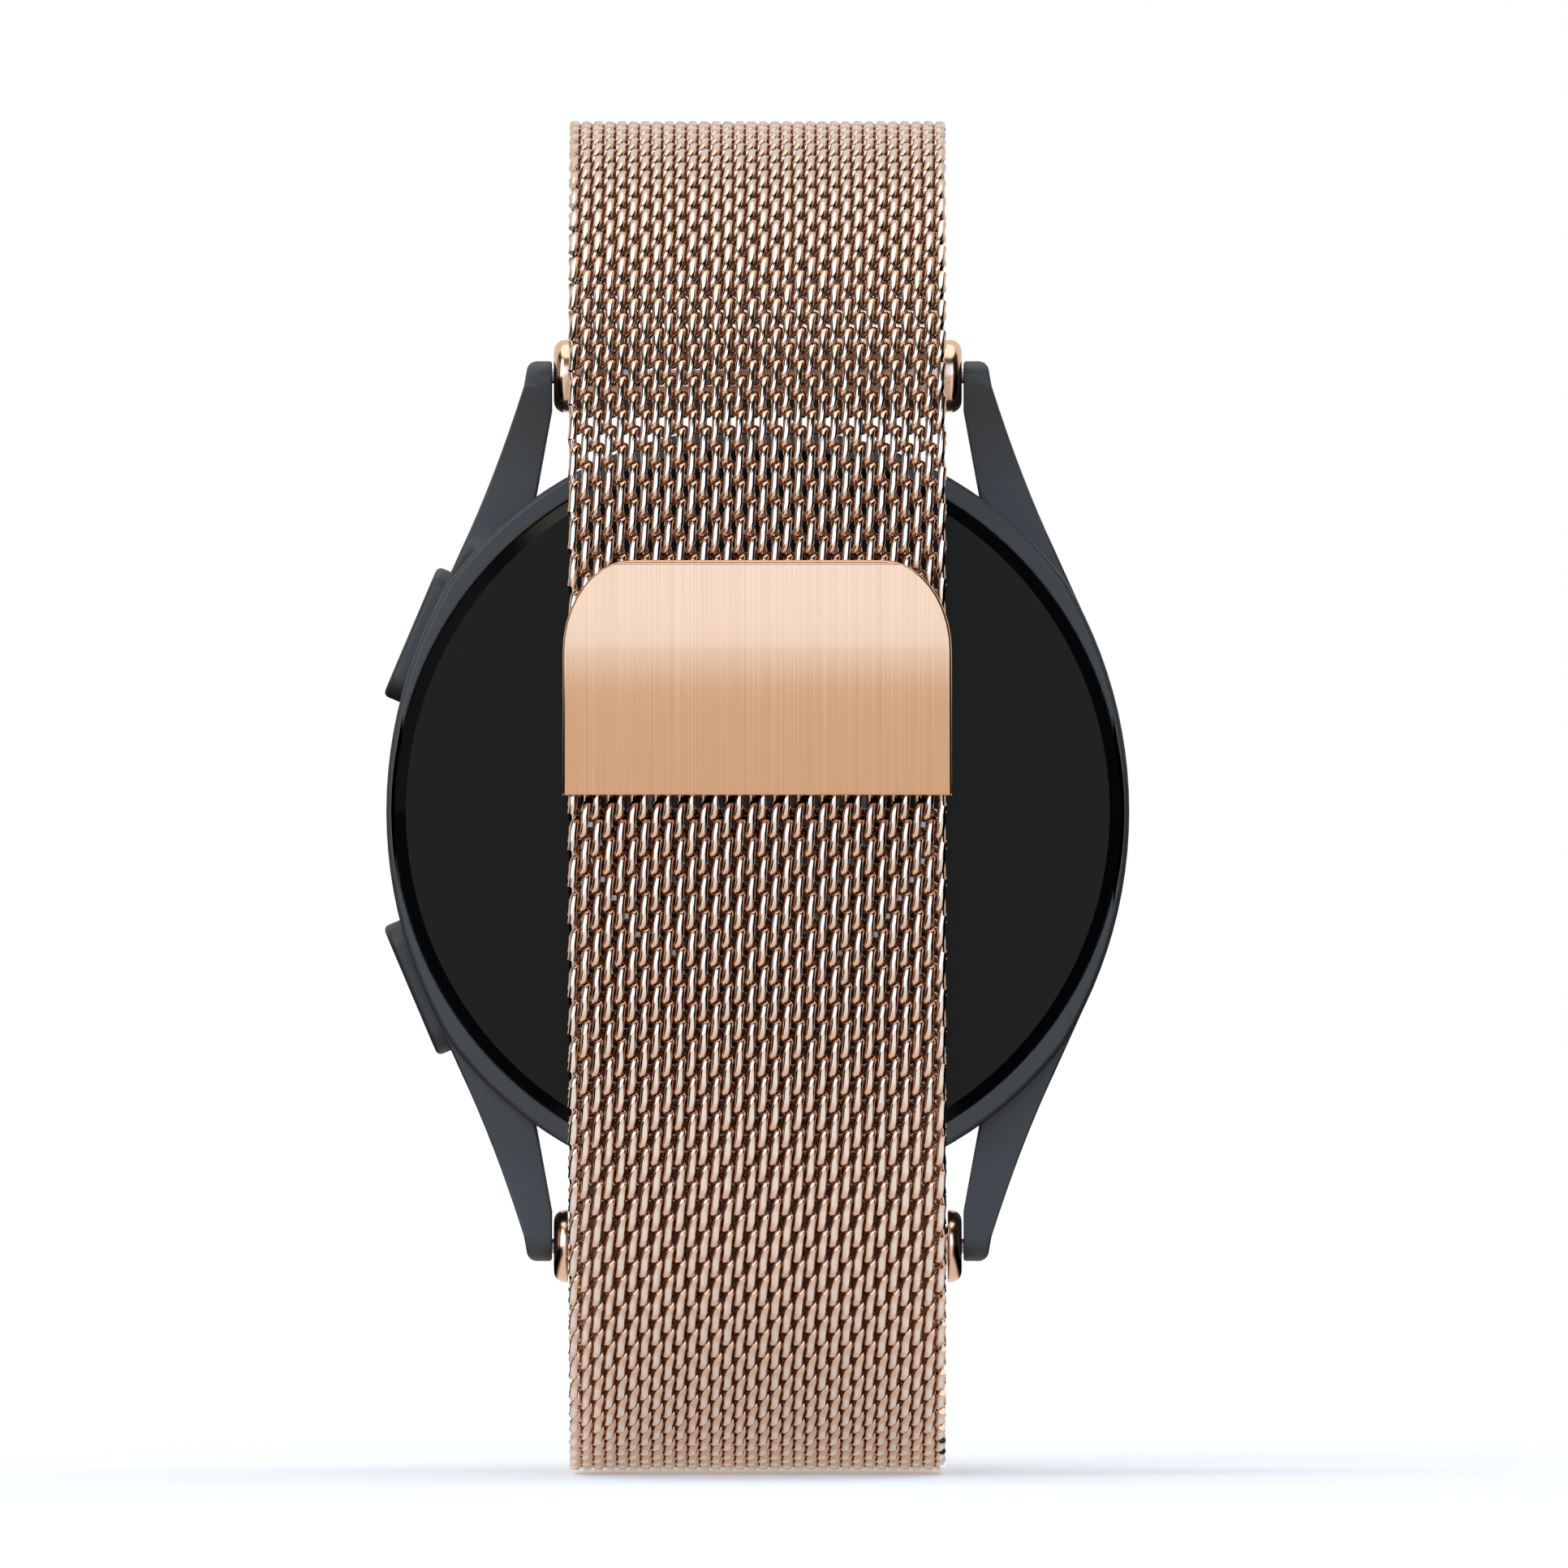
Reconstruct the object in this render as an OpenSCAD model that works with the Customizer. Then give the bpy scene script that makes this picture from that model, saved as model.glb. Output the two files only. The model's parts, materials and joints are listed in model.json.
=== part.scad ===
// Round smartwatch on a closed woven-mesh strap with a magnetic clasp.
// Frame: origin on the dial axis in the middle of the wrist opening, +Z towards 12 o'clock,
// +Y out through the display, +X towards 9 o'clock. Millimetres.
// The head is drawn in a dial frame: z = 0 at the rear rim, +z through the display,
// +y towards 12 o'clock, +x towards 3 o'clock, where the buttons are.

/* [Case] */
// Width of the case from side to side
case_d = 39.7; // [34:0.1:50]
// Height of the case, from its rear rim to its front edge
case_h = 8.8; // [8:0.1:11]
// Thickness of the case wall
case_wall = 1.8; // [1.5:0.1:2.2]
// Width of the rear rim around the rear cover, at the sides
rim_w = 0.4; // [0.35:0.05:1]
// Width of the front edge around the glass
bezel_w = 1.3; // [1.1:0.05:1.6]
// How far the lugs reach past the case's side radius
lug_reach = 4.2; // [3.7:0.1:5]
// Width of a lug at its tip
lug_tip_w = 1.35; // [1.3:0.05:2]
// Height of a lug at its tip
lug_tip_h = 3.7; // [3.2:0.1:4.4]

/* [Glass and display] */
// Height of the glass above the case's front edge
glass_proud = 0.65; // [0.3:0.05:1]
// Thickness of the cover glass
glass_t = 1.25; // [0.9:0.05:1.6]
// Thickness of the display panel
display_t = 0.7; // [0.5:0.05:0.9]

/* [Rear cover] */
// Height of the rear cover's flat above the rear rim
rear_proud = 0.35; // [0.2:0.05:0.6]
// Width of the black bevel round the rear cover
rear_bevel = 0.6; // [0.4:0.05:0.8]
// Radius of the sensor window
window_r = 7.2; // [6.5:0.1:8]
// Height of the sensor window above the rear cover
window_proud = 0.9; // [0.6:0.05:1.3]

/* [Buttons] */
// Angle of each button from 3 o'clock, about the centre of the case's side arc
button_a = 23; // [21:0.5:26]
// Length of a button along the case
button_l = 7.5; // [6.4:0.1:9]
// Width of a button across the case
button_w = 2.6; // [2.2:0.1:3.2]
// How far a button stands out of the case
button_proud = 0.7; // [0.6:0.05:1.2]
// Travel of a button
button_travel = 0.35; // [0.2:0.05:0.4]

/* [Strap] */
// Width of the woven mesh
band_w = 20; // [16:0.5:24]
// Thickness of the woven mesh
mesh_t = 1.3; // [1.1:0.05:1.6]
// Depth of the wrist opening, from the mesh to the sensor window
opening_d = 41.4; // [36:0.2:50]
// Height of the strap's crest above the upper spring bar
crest_top = 13.35; // [11:0.05:16]
// Depth of the strap's lowest point below the lower spring bar
crest_bottom = 11.7; // [10:0.2:14]
// Radius of the strap where it turns at the top and the bottom of its front
front_r = 24; // [20:0.5:29]
// How far the clasp end of the strap lifts, in degrees
flap_lift = 30; // [10:1:35]

/* [Clasp] */
// Width of the clasp
clasp_w = 20.4; // [17:0.1:25]
// Height of the clasp along the strap
clasp_l = 12.35; // [10:0.1:15]
// Height of the clasp's straight edge above the dial axis
clasp_z0 = 0.85; // [0:0.05:2]
// Thickness of the clasp at its middle
clasp_t = 3.3; // [3:0.05:4]
// Radius of the clasp's curved face
clasp_r = 30; // [26:1:40]

/* [Spring bars] */
// Outer radius of the barrels between the lugs
barrel_r = 1.95; // [1.9:0.05:2.2]
// Radius of a spring bar's tube
tube_r = 0.75; // [0.7:0.05:0.8]
// Radius of a spring bar's tips
tip_r = 0.4; // [0.35:0.05:0.45]
// Travel of a spring bar's tip
tip_travel = 0.9; // [0.6:0.05:1]

/* [Hidden] */
$fn = 64;
eps = 0.01;

// Clearances
fit_gap = 0.05;      // pins in their holes, covers in their seats
slide_gap = 0.15;    // mesh over metal, and parts that pass each other
side_gap = 0.2;      // internal parts in the cavity

// Case
case_r = case_d / 2;
side_shift = 4.15;                 // from the dial axis to the centre of the far side's arc
side_r = case_r + side_shift;
end_r = case_r + 0.7;              // the case's ends bulge out past its sides
cav_r = case_r - case_wall;
rim_in = case_r - rim_w;
rear_edge = 0.3;
front_edge = 0.3;
taper = 0.9;                       // how much narrower the front edge is than the side
side_top = case_h - 3.2;
glass_pocket_r = case_r - bezel_w;
glass_r = glass_pocket_r - fit_gap;
glass_top = case_h + glass_proud;
glass_z = glass_top - glass_t;
seal_t = 0.1;
ledge_z1 = glass_z - seal_t;
ledge_t = 0.7;
ledge_z0 = ledge_z1 - ledge_t;
ledge_r = glass_r - 0.9;
rear_t = 0.7;                      // rear cover inside the rim
gasket_t = 0.2;
rear_ledge_z0 = rear_t + gasket_t;
rear_ledge_t = 0.6;
rear_ledge_z1 = rear_ledge_z0 + rear_ledge_t;
rear_open_r = rim_in - 1.85;

// Lugs and spring bars
bar_end_gap = 0.1;
barrel_half = band_w / 2 + 0.9;
gap_half = barrel_half + bar_end_gap;
tip_y = case_r + lug_reach;
lug_wall = 0.8;                    // from the spring bar's axis to the lug's end
bar_z = tip_y - lug_wall;
bar_dial_z = 2.1;
lug_flare = 0.85;                  // how much wider the gap is at the case
lug_blend_a = 22.8;                // where a lug's outer edge meets the side's arc
lug_rear_z = 1.1;
lug_front_z = 6.4;
pin_depth = 0.65;                  // how deep a tip sits in its lug
hole_depth = 0.8;
tube_half = barrel_half - 0.3;
tube_bore = tube_r - 0.2;
shank_r = tube_bore - fit_gap;
shank_l = 3.9;

// Buttons
button_z = 4.4;
pocket_floor = case_r - 0.95;
press_gap = 0.05;
cap_in = pocket_floor + button_travel + press_gap;
cap_out = case_r + button_proud;
shaft_r = 0.8;
boss_in = cav_r - 1.3;
seal_depth = 0.55;
seal_r = 1.3;
clip_t = 0.3;
clip_r = 1.4;
shaft_in = boss_in - 1.05;
dome_t = 0.25;
dome_top = shaft_in - button_travel - press_gap;
switch_t = 0.4;

// Inside the case
floor_z = rear_ledge_z1 + 0.1;
floor_t = 0.3;
carrier_r = ledge_r - side_gap;
carrier_in = carrier_r - 0.8;
board_t = 0.6;
board_z = ledge_z0 - 1.3;
board_r = carrier_r - 0.1;
pad_t = 0.5;                       // the carrier's pad behind each switch
pad_half = 3;
pad_out = dome_top - dome_t - switch_t;
battery_x = -side_shift + (side_shift + pad_out - pad_t) * cos(button_a) - pad_half * sin(button_a) - side_gap;
motor_l = 9;
motor_w = 3.6;
motor_y = sqrt(pow(carrier_in - 0.3, 2) - pow(motor_l / 2, 2));
battery_corner = 1.5;
battery_y = min(motor_y - motor_w - 0.5,
    battery_corner + sqrt(pow(carrier_in - side_gap - battery_corner, 2) - pow(battery_x - battery_corner, 2)));
battery_z0 = floor_z + floor_t + 0.05;
battery_z1 = board_z - 0.6;
screw_r = 0.6;
screw_ring = carrier_in - 1.6;
screw_angles = [0, 155, 205];

// Strap path, in the plane of Y and Z
dial_y = opening_d / 2 + rear_proud + window_proud;
bar_y = dial_y + bar_dial_z;
front_y = -opening_d / 2 - mesh_t / 2;
arc_y = front_y + front_r;
dy = bar_y - arc_y;
top_mid = bar_z + crest_top - mesh_t / 2;
top_h = top_mid - bar_z;
top_back_r = (dy * dy + top_h * top_h) / (2 * top_h);
top_back_a = asin(dy / top_back_r) - (barrel_r + 0.12) / top_back_r * 180 / PI;
roller_core = tube_r + fit_gap + 0.3;
fold_r = roller_core + slide_gap + mesh_t / 2;
bend_steps = 20;                       // flats round each bend
flap_clear = 3;                        // what stays open past the clasp end's full lift, in degrees
layer_front = mesh_t + slide_gap;      // spacing of the two layers at the clasp
layer_bottom = layer_front + 0.65;     // and at the bottom of the loop
outer_bottom = -(bar_z + crest_bottom) + mesh_t / 2;
inner_bottom = outer_bottom + layer_bottom;
inner_h = -bar_z - inner_bottom;
outer_h = -bar_z - outer_bottom;
inner_back_r = (dy * dy + inner_h * inner_h - fold_r * fold_r) / (2 * (inner_h + fold_r));
outer_back_r = (dy * dy + outer_h * outer_h - fold_r * fold_r) / (2 * (outer_h - fold_r));
inner_back_a = asin(dy / (inner_back_r + fold_r));
outer_back_a = asin(dy / (outer_back_r - fold_r));
outer_front_r = front_r + layer_front;
flap_y = arc_y - outer_front_r;

// Clasp, measured out from the inner layer
clasp_y = front_y - mesh_t / 2 - 0.1;  // its face against the inner layer
clasp_mid = clasp_z0 + clasp_l / 2;
clasp_wall = 0.9;
clasp_corner = [3.6, 4.8];
base_t = 0.6;
tongue = 1.6;                          // mesh held inside the clasp
magnet_t = 1.35;
magnet_w = 5.2;
magnet_count = 3;

// ---- helpers ----

function arc(c, r, a0, a1, n) =
    [for (i = [0:n]) [c.x + r * cos(a0 + (a1 - a0) * i / n), c.y + r * sin(a0 + (a1 - a0) * i / n)]];

function bezier(p0, p1, p2, n) =
    [for (i = [0:n]) let (t = i / n) (1 - t) * (1 - t) * p0 + 2 * t * (1 - t) * p1 + t * t * p2];

module on_dial() {
    translate([0, dial_y, 0]) rotate([90, 0, 180]) children();
}

// A button's own frame in the dial frame: x runs out along its axis, square to the side's arc,
// and is case_r at the case's surface.
module button_frame(side) {
    translate([-side_shift, 0, 0]) rotate([0, 0, side * button_a]) translate([side_shift, 0, 0]) children();
}

// Places a button's parts, centred on its axis.
module at_button(side) {
    on_dial() button_frame(side) translate([0, 0, button_z]) children();
}

module ring(r0, r1, z0, z1) {
    rotate_extrude() translate([r0, z0]) square([r1 - r0, z1 - z0]);
}

// A disc or rod along X, from x0 to x1, on the axis y, z.
module rod_x(r, x0, x1, y = 0, z = 0) {
    translate([x0, y, z]) rotate([0, 90, 0]) cylinder(r = r, h = x1 - x0);
}

module box(lo, hi) {
    translate(lo) cube(hi - lo);
}

// ---- case ----

// The outside of a round case of radius r.
module case_puck(r) {
    front = r - taper;
    rotate_extrude($fn = 128) polygon(concat(
        [[0, 0]],
        arc([r - rear_edge, rear_edge], rear_edge, -90, 0, 5),
        [[r, side_top]],
        arc([front - front_edge, case_h - front_edge], front_edge, 15, 90, 4),
        [[0, case_h]]
    ));
}

// The space inside: the rear cover's seat, the cavity and the glass's seat.
module case_cavity() {
    rotate_extrude($fn = 128) polygon([
        [0, -1], [rim_in, -1], [rim_in, rear_ledge_z0], [rear_open_r, rear_ledge_z0],
        [rear_open_r, rear_ledge_z1], [cav_r, rear_ledge_z1], [cav_r, ledge_z0], [ledge_r, ledge_z0],
        [ledge_r, ledge_z1], [glass_pocket_r, ledge_z1], [glass_pocket_r, case_h + 1], [0, case_h + 1]
    ]);
}

module case_ring() {
    difference() {
        intersection() {
            case_puck(end_r);
            for_sides() case_puck(side_r);
        }
        case_cavity();
    }
}

// What lies within both of the case's side arcs.
module for_sides() {
    intersection() {
        translate([-side_shift, 0, 0]) children();
        translate([side_shift, 0, 0]) children();
    }
}

module lug_outline() {
    corner = 0.55;
    outer = gap_half + lug_tip_w;
    knee = [case_r - 4, tip_y - 10.05];
    meet = [side_r * cos(lug_blend_a) - side_shift, side_r * sin(lug_blend_a)];
    flare_y = bar_z - barrel_r + 0.1;
    notch_y = sqrt(pow(end_r, 2) - pow(gap_half + lug_flare, 2));
    root = 1 + 2 / (flare_y - notch_y);
    polygon(concat(
        [[gap_half, tip_y]],
        arc([outer - corner, tip_y - corner], corner, 90, 17, 4),
        bezier([outer + 0.15, tip_y - 1.35], [outer + 1.75, tip_y - 6.35], knee, 8),
        [meet, [meet.x - 2.5, meet.y]],
        [[gap_half + lug_flare * root, notch_y - 2], [gap_half, flare_y]]
    ));
}

module lug_side() {
    half = lug_tip_h / 2;
    corner = 0.9;
    polygon(concat(
        [[0, lug_rear_z], [case_r - 3, lug_rear_z]],
        bezier([case_r - 2, lug_rear_z], [case_r + 0.2, lug_rear_z], [bar_z - 0.6, bar_dial_z - half], 5),
        arc([tip_y - corner, bar_dial_z - half + corner], corner, -90, 0, 4),
        arc([tip_y - corner, bar_dial_z + half - corner], corner, 0, 60, 4),
        bezier([bar_z - 1, bar_dial_z + half + 0.35], [case_r - 1, lug_front_z], [case_r - 6, lug_front_z], 6),
        [[0, lug_front_z]]
    ));
}

module lug() {
    difference() {
        intersection() {
            linear_extrude(case_h) lug_outline();
            rotate([90, 0, 90]) linear_extrude(case_r + 5) lug_side();
        }
        cylinder(r = cav_r + case_wall / 2, h = case_h, $fn = 128);
        rod_x(tip_r + fit_gap, 0, gap_half + 0.15 + hole_depth, bar_z, bar_dial_z);
    }
}

// Straight-sided oval, standing on its x = 0 face and h tall along x.
module pill(l, w, h) {
    rotate([0, 90, 0]) linear_extrude(h) {
        square([w, l - w], center = true);
        for (s = [-1, 1]) translate([0, s * (l - w) / 2]) circle(d = w);
    }
}

module button_boss(side) {
    button_frame(side) translate([0, 0, button_z])
        box([boss_in, -2.6, -1.6], [cav_r + case_wall / 2, 2.6, 1.6]);
}

module button_cuts(side) {
    button_frame(side) translate([0, 0, button_z]) {
        translate([pocket_floor, 0, 0]) pill(button_l + 0.24, button_w + 0.24, 5);
        rod_x(shaft_r + fit_gap, boss_in - 1, case_r);
        rod_x(seal_r + fit_gap, boss_in - 1, boss_in + seal_depth);
    }
}

mic_a = -13.7;
mic_r = 0.4;
speaker_slots = 3;

module case() {
    color([0.2, 0.2, 0.21]) on_dial() difference() {
        union() {
            case_ring();
            for (mx = [0, 1], my = [0, 1]) mirror([mx, 0, 0]) mirror([0, my, 0]) lug();
            for (s = [-1, 1]) button_boss(s);
        }
        for (s = [-1, 1]) button_cuts(s);
        rotate([0, 0, mic_a]) rod_x(mic_r, cav_r - 1, case_r + 1, 0, button_z);
        for (i = [0:speaker_slots - 1]) rotate([0, 0, 180 + (i - 1) * 9])
            translate([cav_r - 1, 0, button_z]) pill(2.4, 0.8, 4);
    }
}

// ---- glass and display ----

module cover_glass() {
    edge = 0.8;
    color([0.02, 0.02, 0.03]) on_dial() rotate_extrude($fn = 128) polygon(concat(
        [[0, glass_z], [glass_r, glass_z]],
        arc([glass_r - edge, glass_top - edge], edge, 0, 90, 6),
        [[0, glass_top]]
    ));
}

module glass_seal() {
    color([0.1, 0.1, 0.1]) on_dial() ring(ledge_r, glass_r, ledge_z1, glass_z);
}

module display_panel() {
    color([0.03, 0.03, 0.05]) on_dial() ring(0, ledge_r - 0.8, glass_z - display_t, glass_z);
}

module display_flex() {
    foot = ledge_z0 - 0.35;
    color([0.6, 0.4, 0.1]) on_dial() translate([0, 0, foot])
        box([-4, -10, 0], [4, -4.6, 0.25]);
}

// ---- inside the case ----

module screw_places() {
    for (a = screw_angles) rotate([0, 0, a]) translate([screw_ring, 0, 0]) children();
}

module carrier() {
    wall = 0.4;
    color([0.15, 0.15, 0.16]) on_dial() difference() {
        union() {
            ring(6.9, carrier_r, floor_z, floor_z + floor_t);
            ring(carrier_in, carrier_r, floor_z, board_z - 0.05);
            screw_places() translate([0, 0, floor_z]) cylinder(r = 1.2, h = board_z - 0.05 - floor_z);
            for (s = [-1, 1]) button_frame(s)
                box([pad_out - pad_t, -pad_half, floor_z], [pad_out, pad_half, board_z - 0.5]);
        }
        screw_places() translate([0, 0, floor_z + 1]) cylinder(r = screw_r + 0.02, h = case_h);
        for (s = [-1, 1]) button_frame(s)
            box([pad_out, -pad_half - side_gap, button_z - 2], [case_r, pad_half + side_gap, case_h]);
        rotate([0, 0, mic_a]) rod_x(mic_r, carrier_in - 1, case_r, 0, button_z);
        translate([-case_r, -4.4, button_z - 1]) cube([case_r - carrier_in + 1, 8.8, 2]);
    }
}

module battery() {
    r = battery_corner;
    color([0.25, 0.25, 0.28]) on_dial() translate([0, 0, battery_z0])
        linear_extrude(battery_z1 - battery_z0) {
            square([2 * battery_x, 2 * (battery_y - r)], center = true);
            square([2 * (battery_x - r), 2 * battery_y], center = true);
            for (sx = [-1, 1], sy = [-1, 1])
                translate([sx * (battery_x - r), sy * (battery_y - r)]) circle(r = r);
        }
}

module main_board() {
    color([0.05, 0.25, 0.12]) on_dial() difference() {
        ring(0, board_r, board_z, board_z + board_t);
        screw_places() translate([0, 0, board_z - 1]) cylinder(r = screw_r + 0.1, h = 3);
    }
}

module board_shield() {
    color([0.75, 0.75, 0.77]) on_dial()
        box([-battery_x + 3, -1, board_z + board_t], [battery_x - 4, battery_y - 3, board_z + board_t + 0.55]);
}

module board_chips() {
    top = board_z + board_t;
    sizes = [[4, 3], [2.5, 2.5], [3, 2], [1.6, 1.6]];
    color([0.06, 0.06, 0.06]) on_dial() for (i = [0:len(sizes) - 1])
        box([-9 + 5 * i, -4.1, top], [-9 + 5 * i + sizes[i].x, -4.1 + sizes[i].y, top + 0.3]);
}

module board_screws() {
    color([0.7, 0.7, 0.72]) on_dial() screw_places() difference() {
        union() {
            translate([0, 0, floor_z + 1.2]) cylinder(r = screw_r, h = board_z + board_t - floor_z - 1.2);
            translate([0, 0, board_z + board_t]) cylinder(r = 1.1, h = 0.45);
        }
        translate([0, 0, board_z + board_t + 0.15]) cylinder(r = 0.5, h = 1, $fn = 6);
    }
}

module vibration_motor() {
    color([0.65, 0.65, 0.67]) on_dial()
        box([-motor_l / 2, -motor_y, battery_z0], [motor_l / 2, -motor_y + motor_w, battery_z1]);
}

module speaker() {
    color([0.12, 0.12, 0.12]) on_dial()
        box([-carrier_in + 1.6, -4.2, battery_z0], [-battery_x - 0.5, 4.2, battery_z1]);
}

module speaker_mesh() {
    color([0.3, 0.3, 0.3]) on_dial()
        box([-carrier_in + 1.1, -4.1, button_z - 0.9], [-carrier_in + 1.4, 4.1, button_z + 0.9]);
}

module microphone() {
    color([0.8, 0.75, 0.4]) on_dial() rotate([0, 0, mic_a])
        box([carrier_in - 1.3, -1, button_z - 0.9], [carrier_in - 0.2, 1, button_z + 0.9]);
}

// ---- buttons ----

module button_parts(side) {
    at_button(side) {
        translate([cap_in, 0, 0]) pill(button_l, button_w, cap_out - cap_in);
        rod_x(shaft_r, shaft_in, cap_in);
    }
}

module clip_parts(side) {
    at_button(side) difference() {
        rod_x(clip_r, boss_in - press_gap - clip_t, boss_in - press_gap);
        rod_x(shaft_r, boss_in - 2, boss_in + 1);
    }
}

module upper_button() { color([0.22, 0.22, 0.23]) button_parts(1); }
module lower_button() { color([0.22, 0.22, 0.23]) button_parts(-1); }
module upper_button_clip() { color([0.7, 0.7, 0.7]) clip_parts(1); }
module lower_button_clip() { color([0.7, 0.7, 0.7]) clip_parts(-1); }

module button_seals() {
    color([0.1, 0.1, 0.1]) for (s = [-1, 1]) at_button(s) difference() {
        rod_x(seal_r, boss_in + fit_gap, boss_in + seal_depth);
        rod_x(shaft_r + fit_gap, boss_in - 1, boss_in + 2);
    }
}

module button_switches() {
    color([0.75, 0.6, 0.3]) for (s = [-1, 1]) at_button(s) {
        rod_x(1.3, dome_top - dome_t, dome_top);
        box([pad_out, -2.4, -1.5], [dome_top - dome_t, 2.4, 1.5]);
    }
}

// ---- rear cover and sensors ----

flange_r = window_r + 0.7;
flange_z0 = 0.1;
flange_z1 = 0.5;
window_hollow = 0.75;          // wall of the window over the sensors
window_flat = window_r - 2.6;
electrode_r0 = window_r + 1.3;
electrode_w = 0.8;
electrode_t = 0.2;

module electrode_arcs(gap) {
    for (s = [0, 180]) rotate([0, 0, s - 65 - gap])
        rotate_extrude(angle = 130 + 2 * gap, $fn = 96)
            translate([electrode_r0, -rear_proud - (gap > 0 ? 1 : 0)])
                square([electrode_w, electrode_t + (gap > 0 ? 1 : 0)]);
}

module rear_cover() {
    r1 = rim_in - fit_gap;
    color([0.03, 0.03, 0.03]) on_dial() difference() {
        rotate_extrude($fn = 128) polygon([
            [window_r + fit_gap, -rear_proud], [r1 - rear_bevel, -rear_proud], [r1, 0], [r1, rear_t],
            [flange_r + fit_gap, rear_t], [flange_r + fit_gap, flange_z0], [window_r + fit_gap, flange_z0]
        ]);
        electrode_arcs(0.2);
    }
}

module rear_gasket() {
    color([0.12, 0.12, 0.12]) on_dial() ring(rear_open_r + 0.1, rim_in - 0.1, rear_t, rear_t + gasket_t);
}

module sensor_window() {
    top = -rear_proud - window_proud;
    color([0.05, 0.05, 0.06]) on_dial() rotate_extrude($fn = 96) polygon(concat(
        [[0, top]],
        bezier([window_flat, top], [window_r - 0.3, top], [window_r, -rear_proud], 6),
        [
            [window_r, flange_z0], [flange_r, flange_z0], [flange_r, flange_z1],
            [window_r - 0.7, flange_z1], [window_r - 1.1, top + window_hollow + 0.25], [0, top + window_hollow]
        ]
    ));
}

sensor_z = flange_z1 + 0.05;

module sensor_board() {
    color([0.05, 0.2, 0.1]) on_dial() ring(0, window_r - 0.6, sensor_z, sensor_z + 0.5);
}

module sensor_leds() {
    color([0.8, 0.9, 0.8]) on_dial() for (s = [-1, 1])
        translate([s * 0.8, 0, 0]) box([-0.5, -0.5, sensor_z - 0.3], [0.5, 0.5, sensor_z]);
}

module photodiodes() {
    color([0.15, 0.15, 0.3]) on_dial() for (a = [22.5:45:359]) rotate([0, 0, a])
        box([3.2, -0.7, sensor_z - 0.3], [4.6, 0.7, sensor_z]);
}

module light_baffle() {
    color([0.05, 0.05, 0.05]) on_dial() ring(2, 2.5, sensor_z - 0.5, sensor_z);
}

module charging_coil() {
    r0 = window_r + 2.8;
    r1 = rear_open_r - 1.2;
    turn = 0.55;
    color([0.75, 0.4, 0.2]) on_dial() for (r = [r0:turn:r1 - turn])
        ring(r, r + turn - 0.15, rear_t + 0.05, rear_t + 0.35);
}

module coil_shield() {
    color([0.2, 0.2, 0.2]) on_dial()
        ring(window_r + 2.4, rear_open_r - 0.7, rear_t + 0.4, rear_t + 0.6);
}

module electrodes() {
    color([0.5, 0.5, 0.52]) on_dial() electrode_arcs(0);
}

// ---- strap ----

// The strap's side view: local x, y are the frame's Y, Z, and local z is the frame's X.
module side_view() {
    rotate([90, 0, 90]) children();
}

function reversed(list) = [for (i = [len(list) - 1:-1:0]) list[i]];

// One face of the inner stretch, out from its middle by o: from the upper barrel round to the fold.
function inner_face(o) = concat(
    arc([arc_y, top_mid - top_back_r], top_back_r + o, 90 - top_back_a, 90, bend_steps),
    onward([arc_y, top_mid - front_r], front_r + o, 90, 180),
    [[front_y - o, inner_bottom + front_r]],
    onward([arc_y, inner_bottom + front_r], front_r + o, 180, 270),
    onward([arc_y, inner_bottom + inner_back_r], inner_back_r + o, 270, 270 + inner_back_a),
    onward([bar_y, -bar_z], fold_r - o, 90 + inner_back_a, outer_back_a - 90 + flap_lift + flap_clear)
);

// One face of the clasp end, out from its middle by o: from the fold round to the clasp.
function flap_face(o) = concat(
    arc([arc_y, outer_bottom + outer_back_r], outer_back_r + o, 270 + outer_back_a, 270, bend_steps),
    onward([arc_y, outer_bottom + outer_front_r], outer_front_r + o, 270, 180),
    [[flap_y - o, clasp_z0 + tongue]]
);

// An arc without its first point, where the stretch before it ends.
function onward(c, r, a0, a1) = let (step = (a1 - a0) / bend_steps) arc(c, r, a0 + step, a1, bend_steps - 1);

module mesh_strip(outer, inner) {
    side_view() translate([0, 0, -band_w / 2]) linear_extrude(band_w) polygon(concat(outer, reversed(inner)));
}

module band_inner() {
    color([0.83, 0.62, 0.48]) mesh_strip(inner_face(mesh_t / 2), inner_face(-mesh_t / 2));
}

module band_flap() {
    color([0.83, 0.62, 0.48]) mesh_strip(flap_face(mesh_t / 2), flap_face(-mesh_t / 2));
}

// ---- clasp ----

// The clasp's outline in X and Z, drawn in from its edge by inset.
module clasp_outline(inset) {
    w = clasp_w / 2 - inset;
    z1 = clasp_z0 + clasp_l - inset;
    cx = w - clasp_corner.x + inset / 2;
    cz = z1 - clasp_corner.y + inset / 2;
    rx = clasp_corner.x - inset / 2;
    rz = clasp_corner.y - inset / 2;
    polygon(concat(
        [[-w, clasp_z0 + inset], [w, clasp_z0 + inset]],
        [for (i = [0:10]) [cx + rx * cos(9 * i), cz + rz * sin(9 * i)]],
        [for (i = [10:-1:0]) [-cx - rx * cos(9 * i), cz + rz * sin(9 * i)]]
    ));
}

// The outline as a slab from y1, nearer the viewer, to y0.
module clasp_slab(inset, y0, y1) {
    translate([0, y0, 0]) rotate([90, 0, 0]) linear_extrude(y0 - y1) clasp_outline(inset);
}

module clasp_dome(r) {
    rod_x(r, -clasp_w, clasp_w, clasp_y - clasp_t + clasp_r, clasp_mid);
}

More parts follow.
